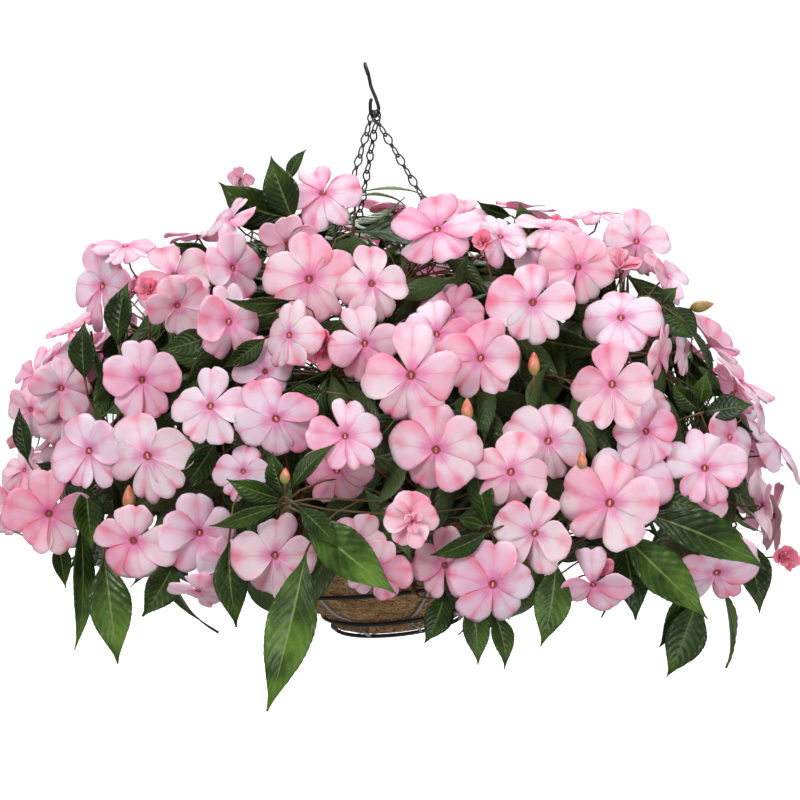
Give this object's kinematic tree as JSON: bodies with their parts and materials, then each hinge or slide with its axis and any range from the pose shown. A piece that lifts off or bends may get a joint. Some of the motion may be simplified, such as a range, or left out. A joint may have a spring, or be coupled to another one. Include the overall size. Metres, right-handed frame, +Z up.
{
  "type": "new guinea impatiens hanging basket",
  "caption": "Wire hanging basket with coir liner, chains and hook, planted with a broad mound of pale pink impatiens over dark lance-shaped leaves.",
  "frame": {"origin": "underside of the hook's arch, where the rod rests on the bracket that carries it", "axes": "+Z up, +X to the viewer's right, +Y away from the viewer of the front"},
  "size_m": [0.6987, 0.6411, 0.4878],
  "materials": {
    "black_wire": "glossy black coating over steel wire",
    "dark_chain": "dark blued steel wire links, half gloss",
    "coir": "matted brown coconut fibre, matte",
    "potting_mix": "damp peat and bark crumbs, matte",
    "foliage": "dark green leaf with a soft gloss, fine toothed edge and pale midrib",
    "petal": "satin pale pink petal, rose stripe down the middle and a magenta eye",
    "stem": "smooth reddish green stem, half gloss"
  },
  "bodies": {
    "root": {"chain_1": "dark_chain", "chain_2": "dark_chain", "chain_3": "dark_chain", "coir_liner": "coir", "flowering_stem_01": "foliage", "flowering_stem_02": "foliage", "flowering_stem_03": "foliage", "flowering_stem_04": "foliage", "flowering_stem_05": "foliage", "flowering_stem_06": "foliage", "flowering_stem_07": "foliage", "flowering_stem_08": "foliage", "flowering_stem_09": "foliage", "flowering_stem_10": "foliage", "flowering_stem_11": "foliage", "flowering_stem_12": "foliage", "flowering_stem_13": "foliage", "flowering_stem_14": "foliage", "flowering_stem_15": "foliage", "flowering_stem_16": "foliage", "flowering_stem_17": "foliage", "flowering_stem_18": "foliage", "flowering_stem_19": "foliage", "flowering_stem_20": "foliage", "flowering_stem_21": "foliage", "flowering_stem_22": "foliage", "flowering_stem_23": "foliage", "flowering_stem_24": "foliage", "flowering_stem_25": "foliage", "flowering_stem_26": "foliage", "flowering_stem_27": "foliage", "flowering_stem_28": "foliage", "flowering_stem_29": "foliage", "flowering_stem_30": "foliage", "flowering_stem_31": "foliage", "hook": "black_wire", "potting_soil": "potting_mix", "wire_basket": "black_wire"}
  },
  "joints": []
}
